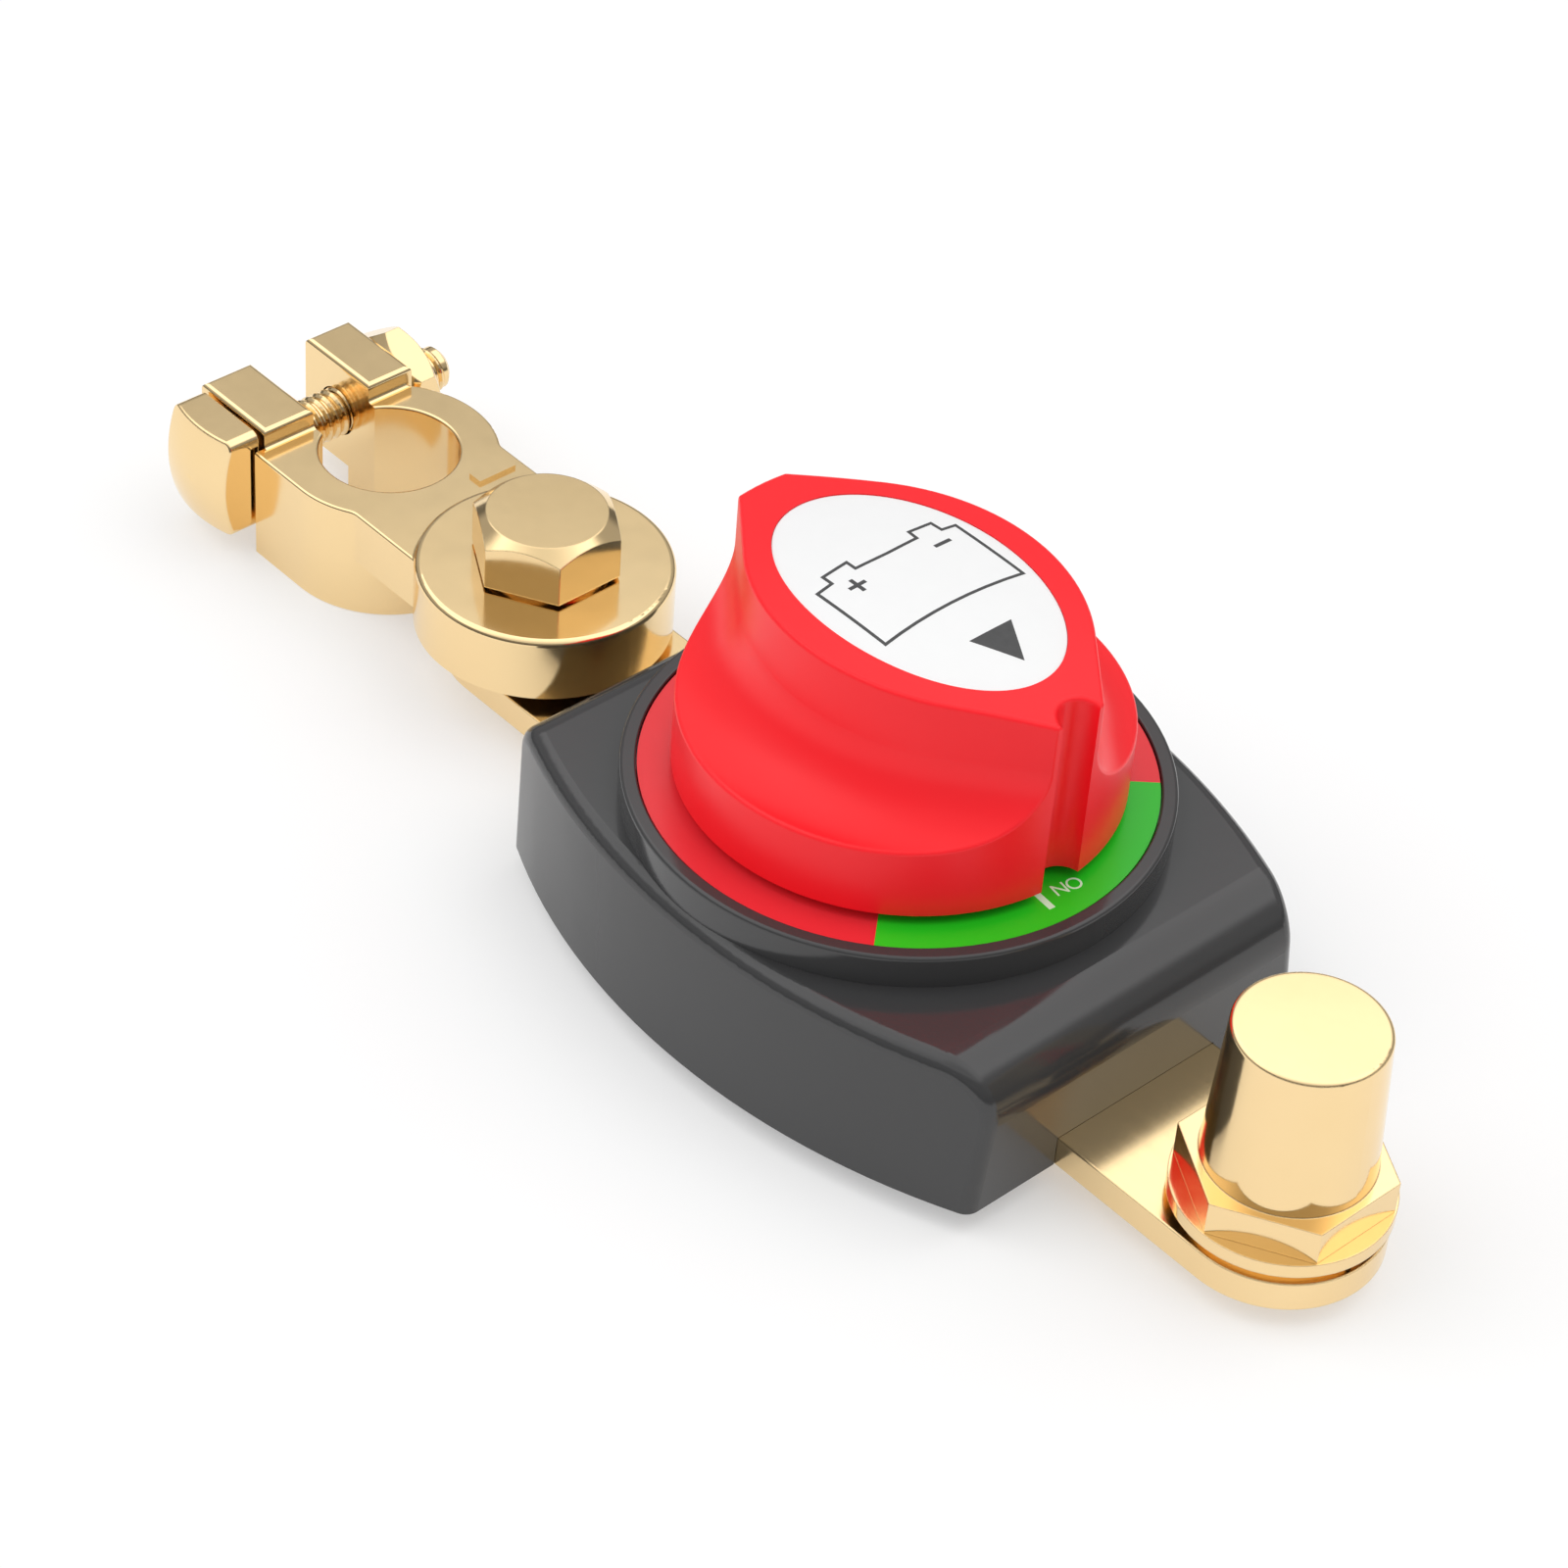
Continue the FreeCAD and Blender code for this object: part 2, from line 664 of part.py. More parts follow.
def build_seal():
    seal = Piece("spindle_seal")
    centre = "spindle_radius + seal_section + running_gap"
    section = seal.draw("Section", "XZ_Plane").circle("seal_section", centre, "gland_top - seal_section")
    seal.turn(section, "Ring")


def crown(radius, sink="0"):
    """Height of the knob's domed top at a radius."""
    return "crown_high - (%s) - crown_radius + sqrt(crown_radius ^ 2 - (%s) ^ 2)" % (sink, radius)


def build_knob():
    knob = Piece("knob")
    half = knob.draw("Half", "XZ_Plane")
    half.chain([("0", "knob_low"), ("knob_radius", "knob_low"), ("knob_radius", crown("knob_radius")),
                ("0", "crown_high")], {2: ("crown_radius", 1)})
    knob.turn(half, "Body")
    # The grip's side follows an arc that runs out in straight stretches to the two tips
    for side, turn in (("", -1), ("-", 1)):
        centre = "(grip_half - grip_arc)"
        rise = "sqrt(grip_arc ^ 2 - grip_turn ^ 2)"
        bend = "(%s + %s)" % (centre, rise)
        run = "knob_radius"
        far = "(grip_turn + %s)" % run
        low = "(%s - %s * grip_turn / %s)" % (bend, run, rise)
        path = knob.draw("GripLine" + ("Left" if side == "" else "Right"))
        path.chain([("-" + far, side + low), ("-grip_turn", side + bend),
                    ("grip_turn", side + bend), (far, side + low)],
                   {1: ("grip_arc", turn)}, closed=False)
        edge = side + "grip_half"
        outward = side or "+"
        scoop = knob.draw("Scoop" + ("Left" if side == "" else "Right"), "YZ_Plane")
        scoop.chain([(edge, "crown_high + scoop_radius"), (edge, "scoop_low + scoop_radius"),
                     ("%s %s scoop_radius" % (edge, outward), "scoop_low"),
                     ("%s %s 2 * scoop_radius" % (edge, outward), "scoop_low"),
                     ("%s %s 2 * scoop_radius" % (edge, outward), "crown_high + scoop_radius")],
                    {1: ("scoop_radius", 1 if side == "" else -1)})
        knob.sweep_away(scoop, path, "Scoop" + ("LeftCut" if side == "" else "RightCut"))
    groove = knob.draw("Groove", lift="knob_low").circle("groove_radius", "knob_radius")
    knob.pocket(groove, "crown_high", "TipGroove", up=True)
    lip = value("scoop_low")

    def grip_rim(edge):
        box = edge.BoundBox
        seam = abs(box.Center.y) + box.YLength < CLOSE
        return box.ZMin > lip - CLOSE and not seam

    knob.round_off("grip_edge", grip_rim, "GripEdges")
    # Hollow underside with a hub for the spindle
    skirt = knob.draw("Skirt", lift="knob_low").circle("knob_radius - knob_wall").circle("hub_radius")
    knob.pocket(skirt, "knob_floor - knob_low", "Hollow", up=True)
    face = knob.draw("HubFace", lift="knob_low").circle("hub_radius + fit_gap")
    knob.pocket(face, "hub_lift", "HubEnd", up=True)
    side = "spindle_square / 2 + running_gap"
    socket = knob.draw("Socket", lift="knob_low").box("-(%s)" % side, "-(%s)" % side, side, side)
    knob.pocket(socket, "spindle_top + fit_gap - knob_low", "SpindleSocket", up=True)
    seat = knob.draw("PlateSeat", lift="plate_seat").ellipse("(plate_long + running_gap)",
                                                             "(plate_short + running_gap)")
    knob.pocket(seat, "crown_high", "PlateRecess", up=True)
    hole = knob.draw("ScrewHole", lift="plate_seat").circle("knob_screw_radius + fit_gap")
    knob.pocket(hole, "crown_high - knob_low", "Through")
    sink = knob.draw("HeadSink", lift="plate_seat").circle("knob_screw_head + fit_gap")
    knob.pocket(sink, "plate_seat - spindle_top - 2 * screw_head_thick", "HeadRoom")


def build_knob_screw():
    screw = Piece("knob_screw")
    under = "(spindle_top + 2 * screw_head_thick)"
    half = screw.draw("Half", "XZ_Plane")
    end = "(spindle_top - knob_screw_long + 1)"
    half.chain([("0", end), ("knob_screw_radius", end), ("knob_screw_radius", under),
                ("knob_screw_head", under), ("knob_screw_head", under + " + knob_screw_head_thick"),
                ("0", under + " + knob_screw_head_thick")])
    screw.turn(half, "Screw")


def build_knob_plate():
    plate = Piece("knob_plate")
    oval = plate.draw("Oval", lift="plate_seat").ellipse("plate_long", "plate_short")
    plate.pad(oval, "crown_high + 1 - plate_seat", "Blank")
    dome = plate.draw("Dome", "XZ_Plane")
    reach = "2 * plate_short"
    dome.chain([("0", crown("0", "plate_sink")), (reach, crown(reach, "plate_sink")),
                (reach, "crown_high + 3"), ("0", "crown_high + 3")], {0: ("crown_radius", -1)})
    plate.groove(dome, "DomedFace")


def build_post():
    post = Piece("post_terminal", x="post_reach")
    half = post.draw("Half", "XZ_Plane")
    half.chain([("0", "stud_low"), ("stud_radius", "stud_low"), ("stud_radius", "flange_low"),
                ("post_foot_radius", "flange_low"), ("post_foot_radius", "flange_top"),
                ("post_top_radius", "post_top"), ("0", "post_top")])
    post.turn(half, "Post")
    flange = post.draw("Flange", lift="flange_low").hexagon("flange_corner", start=30)
    post.pad(flange, "flange_top - flange_low", "HexFlange")
    top = value("post_top")
    post.round_off("post_edge", lambda edge: level(edge, top), "TopEdge")


def build_clamp():
    clamp = Piece("clamp_body", x="-(arm_reach + arm_long)")
    disc = clamp.draw("Disc", lift="disc_low").circle("disc_radius", "arm_long")
    clamp.pad(disc, "disc_top - disc_low", "ArmDisc")
    disc_top = value("disc_top")
    clamp.round_off("disc_edge", lambda edge: level(edge, disc_top), "DiscEdge")
    neck = clamp.draw("Neck", lift="disc_low").box("0", "-neck_half", "arm_long", "neck_half")
    clamp.pad(neck, "ring_top - disc_low", "ArmNeck")
    ring = clamp.draw("Ring", lift="ring_low").circle("ring_radius")
    clamp.pad(ring, "ring_top - ring_low", "ClampRing")
    middle = value("arm_long / 2")
    clamp.round_off("neck_corner", lambda edge: upright(edge, "neck_half") and edge.BoundBox.XMax < middle,
                    "NeckCorners")
    cheek = clamp.draw("Cheek", lift="ring_low").box("-ear_root", "-ring_radius", "0", "0")
    clamp.pad(cheek, "ring_top - ring_low", "ClampCheek")
    ears = clamp.draw("Ears", lift="ear_low")
    ears.box("-ear_tip", "-near_ear_outer", "-ear_root", "far_ear_outer")
    clamp.pad(ears, "ear_top - ear_low", "ClampEars")
    slot = clamp.draw("Slot", lift="ring_low")
    slot.box("-2 * ear_tip", "-near_ear_inner", "0", "far_ear_inner")
    clamp.pocket(slot, "2 * ear_top", "EarSlot", up=True)
    ear_top = value("ear_top")
    clamp.round_off("ear_edge", lambda edge: level(edge, ear_top), "EarEdges")
    bore = clamp.draw("Bore", lift="ring_low").circle("clamp_bore")
    clamp.pocket(bore, "2 * ear_top", "PostBore", up=True)
    shank = clamp.draw("ArmHole", lift="disc_low").circle("arm_screw_radius + running_gap", "arm_long")
    clamp.pocket(shank, "2 * disc_top", "ScrewBore", up=True)
    bolt = clamp.draw("BoltHole", "XZ_Plane").circle("bolt_radius + fit_gap", "-bolt_beyond", "bolt_z")
    clamp.pocket(bolt, "4 * near_ear_outer", "BoltBore", both=True)
    ring_top = value("ring_top")
    near_side = value("-near_ear_outer") - CLOSE

    def ear_foot(edge):
        return level(edge, ring_top) and edge.BoundBox.XLength < CLOSE and edge.BoundBox.YMin > near_side

    def rim(edge):
        box = edge.BoundBox
        slot_side = box.YLength < CLOSE and box.XMax < 0 and box.YMin > near_side
        return level(edge, ring_top) and box.XLength > CLOSE and not slot_side

    clamp.round_off("ear_root_corner", ear_foot, "EarFeet")
    clamp.round_off("cast_edge", rim, "RingEdges")
    mark = clamp.draw("Mark", lift="ring_top").box("mark_from", "mark_inner", "mark_to", "mark_outer")
    clamp.pad(mark, "mark_high", "RaisedMark")


def build_clamp_bolt():
    bolt = Piece("clamp_bolt", x="-(arm_reach + arm_long + bolt_beyond)", z="bolt_z")
    core = bolt.draw("Core", "XZ_Plane", "near_ear_outer").circle("bolt_core")
    bolt.pad(core, "near_ear_outer + bolt_end", "ThreadCore", reverse=True)
    plain = bolt.draw("Plain", "XZ_Plane", "near_ear_outer").circle("bolt_radius")
    bolt.pad(plain, "bolt_plain", "PlainShank", reverse=True)
    collar = bolt.draw("Collar", "XZ_Plane", "near_ear_outer").circle("bolt_collar_radius")
    bolt.pad(collar, "bolt_collar_thick", "HeadCollar")
    head = bolt.draw("Head", "XZ_Plane", "near_ear_outer + bolt_collar_thick")
    head.box("-bolt_head_width / 2", "-bolt_head_high / 2", "bolt_head_width / 2", "bolt_head_high / 2")
    bolt.pad(head, "bolt_head_thick", "BoltHead")
    thick = value("bolt_head_thick")

    def corner(edge):
        box = edge.BoundBox
        return abs(box.YLength - thick) < CLOSE and box.XLength < CLOSE

    bolt.round_off("bolt_head_corner", corner, "HeadCorners")
    # Domed outer face of the head, and a chamfered end
    reach = "bolt_head_high"
    tip = "-(near_ear_outer + bolt_collar_thick + bolt_head_thick)"
    drop = "(bolt_dome_radius - sqrt(bolt_dome_radius ^ 2 - %s ^ 2))" % reach
    dome = bolt.draw("Dome")
    dome.chain([("0", tip), ("0", tip + " - 1"), (reach, tip + " - 1"), (reach, tip + " + " + drop)],
               {3: ("bolt_dome_radius", -1)})
    bolt.groove(dome, "DomedFace")
    inner_face = value("-near_ear_outer - bolt_collar_thick")

    def dome_rim(edge):
        box = edge.BoundBox
        return box.YMax < inner_face - thick / 3 and box.YMin > inner_face - thick + CLOSE

    bolt.round_off("bolt_head_edge", dome_rim, "HeadEdges")
    end = bolt.draw("End")
    end.chain([("bolt_core - bolt_chamfer", "bolt_end"), ("bolt_core", "bolt_end - bolt_chamfer"),
               ("bolt_core + 1", "bolt_end - bolt_chamfer"), ("bolt_core + 1", "bolt_end + 1"),
               ("bolt_core - bolt_chamfer", "bolt_end + 1")])
    bolt.groove(end, "EndChamfer")


def build_nut():
    nut = Piece("clamp_nut", x="-(arm_reach + arm_long + bolt_beyond)", z="bolt_z")
    outline = nut.draw("Outline", "XZ_Plane", "-far_ear_outer").hexagon("nut_corner", start=35)
    outline.circle("bolt_core + running_gap")
    nut.pad(outline, "nut_thick", "HexNut", reverse=True)
    outer = nut.draw("OuterChamfer")
    flat = "(nut_corner * cos(30 deg))"
    wide = "(nut_corner + 1)"
    far = "(far_ear_outer + nut_thick)"
    outer.chain([(flat, far), (wide, "%s - (%s - %s) * nut_slope" % (far, wide, flat)),
                 (wide, far + " + 1"), (flat, far + " + 1")])
    nut.groove(outer, "OuterCorners")
    inner = nut.draw("InnerChamfer")
    inner.chain([("nut_corner - nut_inner_chamfer", "far_ear_outer"),
                 ("nut_corner - nut_inner_chamfer", "far_ear_outer - 1"), (wide, "far_ear_outer - 1"),
                 (wide, "far_ear_outer + nut_inner_chamfer + 1")])
    nut.groove(inner, "InnerCorners")


def build_arm_screw():
    screw = Piece("arm_screw", x="-arm_reach")
    under = "disc_top + arm_face_thick"
    half = screw.draw("Half", "XZ_Plane")
    half.chain([("0", "arm_screw_low"), ("arm_screw_radius", "arm_screw_low"),
                ("arm_screw_radius", "disc_top"), ("arm_face_radius", "disc_top"),
                ("arm_face_radius", under), ("0", under)])
    screw.turn(half, "Shank")
    head = screw.draw("Head", lift=under).hexagon("arm_head_corner", start=30)
    screw.pad(head, "arm_head_top - (%s)" % under, "HexHead")
    slope = "arm_head_drop / (arm_head_corner - arm_head_circle)"
    chamfer = screw.draw("Chamfer", "XZ_Plane")
    outer = "(arm_head_corner + 1)"
    chamfer.chain([("arm_head_circle", "arm_head_top"),
                   (outer, "arm_head_top - (%s - arm_head_circle) * %s" % (outer, slope)),
                   (outer, "arm_head_top + 1"), ("arm_head_circle", "arm_head_top + 1")])
    screw.groove(chamfer, "HeadChamfer")


def build_cover_screws():
    """Four pan-head screws, up through the base plate into the cover's bosses."""
    head = Part.makeCylinder(value("screw_head_radius"), value("screw_head_thick"))
    low = FreeCAD.Vector(0, 0, value("screw_head_thick"))
    shank = Part.makeCylinder(value("screw_radius"), value("screw_long"), low)
    screw = head.fuse(shank).removeSplitter()
    copies = []
    for end in (-1, 1):
        for side in (-1, 1):
            copy = screw.copy()
            copy.translate(FreeCAD.Vector(end * value("boss_x"), side * value("boss_y"), 0))
            copies.append(copy)
    group = doc.addObject("Part::Feature", "cover_screws")
    group.Label = "cover_screws"
    group.Shape = Part.makeCompound(copies)
    pieces.append(group)


def build_dial():
    ring = "collar_radius - collar_lip - fit_gap"
    low = "collar_top - dial_sink - dial_thick"
    build_ring("dial_ring", "dial_hole", ring, low, "collar_top - dial_sink")


build_cover()
build_base()
build_gasket()
build_bar("left_busbar", "-", "arm_reach", "arm_screw_radius + running_gap")
build_bar("right_busbar", "", "post_reach", "stud_radius + running_gap")
build_contact("left_contact", "-")
build_contact("right_contact", "")
build_bridge()
build_carrier()
build_spring()
build_ring("thrust_washer", "spindle_radius + fit_gap", "washer_radius",
           "carrier_low + carrier_thick", "carrier_low + carrier_thick + washer_thick")
build_spindle()
build_seal()
build_dial()
build_knob()
build_knob_screw()
build_knob_plate()
build_post()
build_split_ring("post_lock_washer", "stud_radius + fit_gap", "post_spring_radius",
                 "bar_thick", "disc_low", "post_reach")
build_ring("post_washer", "stud_radius + fit_gap", "post_washer_radius",
           "disc_low", "flange_low", "post_reach")
build_clamp()
build_split_ring("arm_lock_washer", "arm_screw_radius + fit_gap", "arm_spring_radius",
                 "bar_thick", "disc_low", "-arm_reach")
build_arm_screw()
build_clamp_bolt()
build_nut()
build_cover_screws()

doc.recompute()
for thing in doc.Objects:
    if "Invalid" in thing.State or "Error" in thing.State:
        raise RuntimeError("%s is in state %s" % (thing.Name, thing.State))
for piece in pieces:
    if piece.Shape.isNull() or not piece.Shape.isValid() or not piece.Shape.Solids:
        raise RuntimeError("%s has no valid solid" % piece.Label)

os.makedirs("parts", exist_ok=True)
for piece in pieces:
    piece.Shape.exportStep(os.path.join("parts", piece.Label + ".step"))
    print("%-18s %d solid, %9.1f mm3" % (piece.Label, len(piece.Shape.Solids), piece.Shape.Volume))
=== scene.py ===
import math

import bmesh
import bpy
from mathutils import Matrix, Vector


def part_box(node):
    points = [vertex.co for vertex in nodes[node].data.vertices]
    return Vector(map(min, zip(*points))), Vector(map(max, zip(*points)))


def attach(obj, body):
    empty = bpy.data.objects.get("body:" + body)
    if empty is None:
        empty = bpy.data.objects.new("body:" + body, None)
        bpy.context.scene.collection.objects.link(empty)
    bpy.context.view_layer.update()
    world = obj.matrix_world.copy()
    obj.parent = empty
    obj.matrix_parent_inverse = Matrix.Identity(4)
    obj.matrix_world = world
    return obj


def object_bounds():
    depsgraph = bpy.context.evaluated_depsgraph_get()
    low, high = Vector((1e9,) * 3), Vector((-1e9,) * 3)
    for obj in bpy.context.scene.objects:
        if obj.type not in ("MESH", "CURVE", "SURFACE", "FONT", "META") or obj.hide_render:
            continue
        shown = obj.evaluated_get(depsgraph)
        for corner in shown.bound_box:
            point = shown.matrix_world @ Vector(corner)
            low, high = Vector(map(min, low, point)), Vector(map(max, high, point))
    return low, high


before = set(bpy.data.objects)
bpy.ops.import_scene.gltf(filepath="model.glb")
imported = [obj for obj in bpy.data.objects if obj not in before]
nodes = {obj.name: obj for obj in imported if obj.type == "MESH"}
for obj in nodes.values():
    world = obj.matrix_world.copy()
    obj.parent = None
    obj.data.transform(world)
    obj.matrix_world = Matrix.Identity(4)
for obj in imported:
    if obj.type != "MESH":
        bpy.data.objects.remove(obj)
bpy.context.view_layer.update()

# Base plate and contact carrier, moulded in glass-filled dark grey plastic. The tool's spark
# eroded skin stays dull, because both are hidden: one closes the switch from below, the other
# turns inside it.

MM = 0.001
ERODED_DARK = (0.030, 0.030, 0.032, 1)
ERODED_PALE = (0.040, 0.040, 0.043, 1)


class Link:
    """A socket of a node tree. Sums on links add Math nodes."""

    def __init__(self, tree, socket):
        self.tree = tree
        self.socket = socket

    def node(self, kind, settings=None, inputs=None, output=0):
        """Adds a node: settings first, then the values or links of its sockets."""
        made = self.tree.nodes.new("ShaderNode" + kind)
        for name, setting in (settings or {}).items():
            if name == "stops":
                ramp = made.color_ramp.elements
                ramp.remove(ramp[1])
                for number, (place, grey) in enumerate(setting):
                    stop = ramp.new(place) if number else ramp[0]
                    stop.position = place
                    stop.color = (grey, grey, grey, 1)
            else:
                setattr(made, name, setting)
        for name, value in (inputs or {}).items():
            if isinstance(value, Link):
                self.tree.links.new(value.socket, made.inputs[name])
            else:
                made.inputs[name].default_value = value
        return Link(self.tree, made.outputs[output])

    def math(self, operation, *values):
        """Adds a Math node on links and numbers."""
        return self.node("Math", {"operation": operation}, dict(enumerate(values)))

    def __add__(self, other):
        return self.math("ADD", self, other)

    def __rsub__(self, other):
        return self.math("SUBTRACT", other, self)

    def __mul__(self, other):
        return self.math("MULTIPLY", self, other)

    def __lt__(self, other):
        return self.math("LESS_THAN", self, other)

    __radd__ = __add__
    __rmul__ = __mul__

    def mixed(self, low, high):
        """A colour between two others, by this link. A Mix node takes colours at 6 and 7."""
        return self.node("Mix", {"data_type": "RGBA"}, {"Factor": self, 6: low, 7: high}, output=2)


def finish(name, constants, recipe):
    """A material: constants go on the shader's own sockets, recipe links what varies."""
    material = bpy.data.materials.new(name)
    material.use_nodes = True
    tree = material.node_tree
    shader = tree.nodes["Principled BSDF"]
    for socket, value in constants.items():
        shader.inputs[socket].default_value = value
    place = tree.nodes.new("ShaderNodeTexCoord")
    for socket, link in recipe(Link(tree, place.outputs["Object"])).items():
        tree.links.new(link.socket, shader.inputs[socket])
    return material


def grain(place, scale, detail=3.0):
    """Soft noise between 0 and 1 over the surface. scale counts its cells in a metre."""
    return place.node("TexNoise", inputs={"Vector": place, "Scale": scale, "Detail": detail})


def bumped(place, height, depth, edge=0.0):
    """A normal from a height in millimetres, with edges broken by a radius in millimetres."""
    inputs = {"Height": height, "Distance": depth * MM, "Strength": 1.0}
    if edge:
        inputs["Normal"] = place.node("Bevel", {"samples": 4}, {"Radius": edge * MM})
    return place.node("Bump", inputs=inputs)


def dress(material, *names):
    """Gives CAD nodes their finish."""
    for name in names:
        nodes[name].data.materials.clear()
        nodes[name].data.materials.append(material)


def eroded_plastic(place):
    spark = grain(place, 4000, 2)
    return {
        "Base Color": grain(place, 40).mixed(ERODED_DARK, ERODED_PALE),
        "Roughness": 0.5 + 0.12 * spark,
        "Normal": bumped(place, spark, 0.02),
    }


dress(finish("eroded_plastic", {}, eroded_plastic), "base_plate", "contact_carrier")

# Bars, cut from cold-drawn flat brass with a round outer end, then bright dipped. They lie in
# channels of the base plate, flush with its underside, and carry the whole current.

BRASS_LIGHT = (0.96, 0.73, 0.41, 1)
BRASS_DEEP = (0.91, 0.67, 0.35, 1)
DRAWN_ALONG = (0.03, 1, 1)
EDGE_BREAK = 0.25


def drawn_brass(place):
    along_bar = place.node("Mapping", inputs={"Vector": place, "Scale": DRAWN_ALONG})
    draw_lines = grain(along_bar, 2400, 2)
    return {
        "Base Color": grain(place, 60).mixed(BRASS_DEEP, BRASS_LIGHT),
        "Roughness": 0.14 + 0.06 * draw_lines,
        "Normal": bumped(place, draw_lines, 0.0015, EDGE_BREAK),
    }


dress(finish("drawn_brass", {"Metallic": 1.0}, drawn_brass), "left_busbar", "right_busbar")

# Contact buttons, bridge and spindle, pressed and turned from plain brass. Nobody sees them once
# the cover is on, so they keep the dull straw colour of the machine shop.

STRAW_DEEP = (0.62, 0.43, 0.18, 1)
STRAW_LIGHT = (0.74, 0.54, 0.26, 1)


def machined_brass(place):
    tone = grain(place, 150)
    return {
        "Base Color": tone.mixed(STRAW_DEEP, STRAW_LIGHT),
        "Roughness": 0.3 + 0.15 * tone,
    }


dress(finish("machined_brass", {"Metallic": 1.0}, machined_brass),
      "left_contact", "right_contact", "contact_bridge", "spindle")

# Contact spring, thrust washer and the hidden screws, in zinc-plated steel. The plating is
# bright, with faint cloudy patches.

ZINC_CLOUD = (0.50, 0.50, 0.48, 1)
ZINC_BRIGHT = (0.66, 0.66, 0.62, 1)


def zinc_plate(place):
    cloud = grain(place, 300)
    return {
        "Base Color": cloud.mixed(ZINC_CLOUD, ZINC_BRIGHT),
        "Roughness": 0.25 + 0.15 * cloud,
    }


dress(finish("zinc_plate", {"Metallic": 1.0}, zinc_plate),
      "contact_spring", "thrust_washer", "knob_screw", "cover_screws")

# Cover gasket and spindle seal, moulded in black rubber. They are squeezed between the parts
# that they keep dry.

RUBBER_BLACK = (0.012, 0.012, 0.012, 1)
RUBBER_BLOOM = (0.022, 0.022, 0.022, 1)


def seal_rubber(place):
    bloom = grain(place, 800)
    return {
        "Base Color": bloom.mixed(RUBBER_BLACK, RUBBER_BLOOM),
        "Roughness": 0.6 + 0.2 * bloom,
    }


dress(finish("seal_rubber", {}, seal_rubber), "cover_gasket", "spindle_seal")

# Housing cover, moulded in dark grey plastic from a polished tool, so its skin mirrors the
# bars. It stands over them on the base plate and carries the collar round the knob.

COVER_DARK = (0.038, 0.038, 0.039, 1)
COVER_PALE = (0.046, 0.046, 0.047, 1)


def polished_grey(place):
    flow = grain(place, 18)
    skin = grain(place, 260, 2)
    return {
        "Base Color": flow.mixed(COVER_DARK, COVER_PALE),
        "Roughness": 0.11 + 0.05 * skin,
        "Normal": bumped(place, skin, 0.006),
    }


dress(finish("polished_grey", {"IOR": 1.5}, polished_grey), "housing_cover")

# Dial, a flat ring moulded in red and green plastic and let into the collar. The green sector
# stands where the knob's tip points when the current is on.

RED_DEEP = (0.78, 0.022, 0.034, 1)
RED_LIGHT = (0.84, 0.032, 0.044, 1)
GREEN_DEEP = (0.016, 0.56, 0.012, 1)
GREEN_LIGHT = (0.022, 0.62, 0.018, 1)
GREEN_HALF_ANGLE = math.radians(48.2)


def dial_colours(place):
    along = place.node("SeparateXYZ", inputs={"Vector": place}, output="X")
    across = place.node("SeparateXYZ", inputs={"Vector": place}, output="Y")
    off_axis = along.math("ABSOLUTE", across.math("ARCTAN2", across, along))
    red = grain(place, 90).mixed(RED_DEEP, RED_LIGHT)
    green = grain(place, 90).mixed(GREEN_DEEP, GREEN_LIGHT)
    return {
        "Base Color": (off_axis < GREEN_HALF_ANGLE).mixed(red, green),
        "Roughness": 0.28 + 0.08 * grain(place, 500),
    }


dress(finish("dial_colours", {}, dial_colours), "dial_ring")

# Dial print, white ink stamped on the ring: a tick and the word ON in the green field, and the
# same with OFF a quarter turn on, in the red one.

WHITE_INK_THIN = (0.62, 0.92, 0.60, 1)
WHITE_INK_FULL = (0.72, 0.96, 0.70, 1)
INK_THICK = 0.02 * MM
WORD_HIGH = 2.6 * MM
WORD_SPACING = 0.88
WORD_PLACE = Vector((25.75, 1.35)) * MM
WORD_TURN = math.radians(-99)
TICK_TURN = math.radians(-5.2)
TICK_FROM = 24.4 * MM
TICK_TO = 27.6 * MM
TICK_HALF = 0.42 * MM
QUARTER_TURN = math.radians(90)
WELD = 0.001 * MM
dial_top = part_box("dial_ring")[1][2]


def white_ink(place):
    cover = grain(place, 1500)
    return {
        "Base Color": cover.mixed(WHITE_INK_THIN, WHITE_INK_FULL),
        "Roughness": 0.35 + 0.1 * cover,
    }


def prism(mesh, outline, low, high):
    """Adds a flat plate to a bmesh: a closed outline, between two heights."""
    below = [mesh.verts.new((x, y, low)) for x, y in outline]
    above = [mesh.verts.new((x, y, high)) for x, y in outline]
    mesh.faces.new(reversed(below))
    mesh.faces.new(above)
    for number in range(len(outline)):
        after = (number + 1) % len(outline)
        mesh.faces.new((below[number], below[after], above[after], above[number]))


def stamped(mesh, word, turn):
    """Adds a word and its tick to a bmesh, turned about the knob's axis."""
    letters = bpy.data.curves.new(word, "FONT")
    letters.body = word
    letters.size = WORD_HIGH
    letters.space_character = WORD_SPACING
    letters.extrude = INK_THICK / 2
    letters.align_x = "CENTER"
    letters.align_y = "CENTER"
    holder = bpy.data.objects.new(word, letters)
    solid = bpy.data.meshes.new_from_object(holder)
    bpy.data.objects.remove(holder)
    bpy.data.curves.remove(letters)
    where = Vector((*WORD_PLACE, dial_top + INK_THICK / 2))
    solid.transform(Matrix.Rotation(turn, 4, "Z") @ Matrix.Translation(where)
                    @ Matrix.Rotation(WORD_TURN, 4, "Z"))
    mesh.from_mesh(solid)
    bpy.data.meshes.remove(solid)
    along = Matrix.Rotation(turn + TICK_TURN, 2)
    corners = ((TICK_FROM, -TICK_HALF), (TICK_TO, -TICK_HALF),
               (TICK_TO, TICK_HALF), (TICK_FROM, TICK_HALF))
    prism(mesh, [along @ Vector(corner) for corner in corners], dial_top, dial_top + INK_THICK)


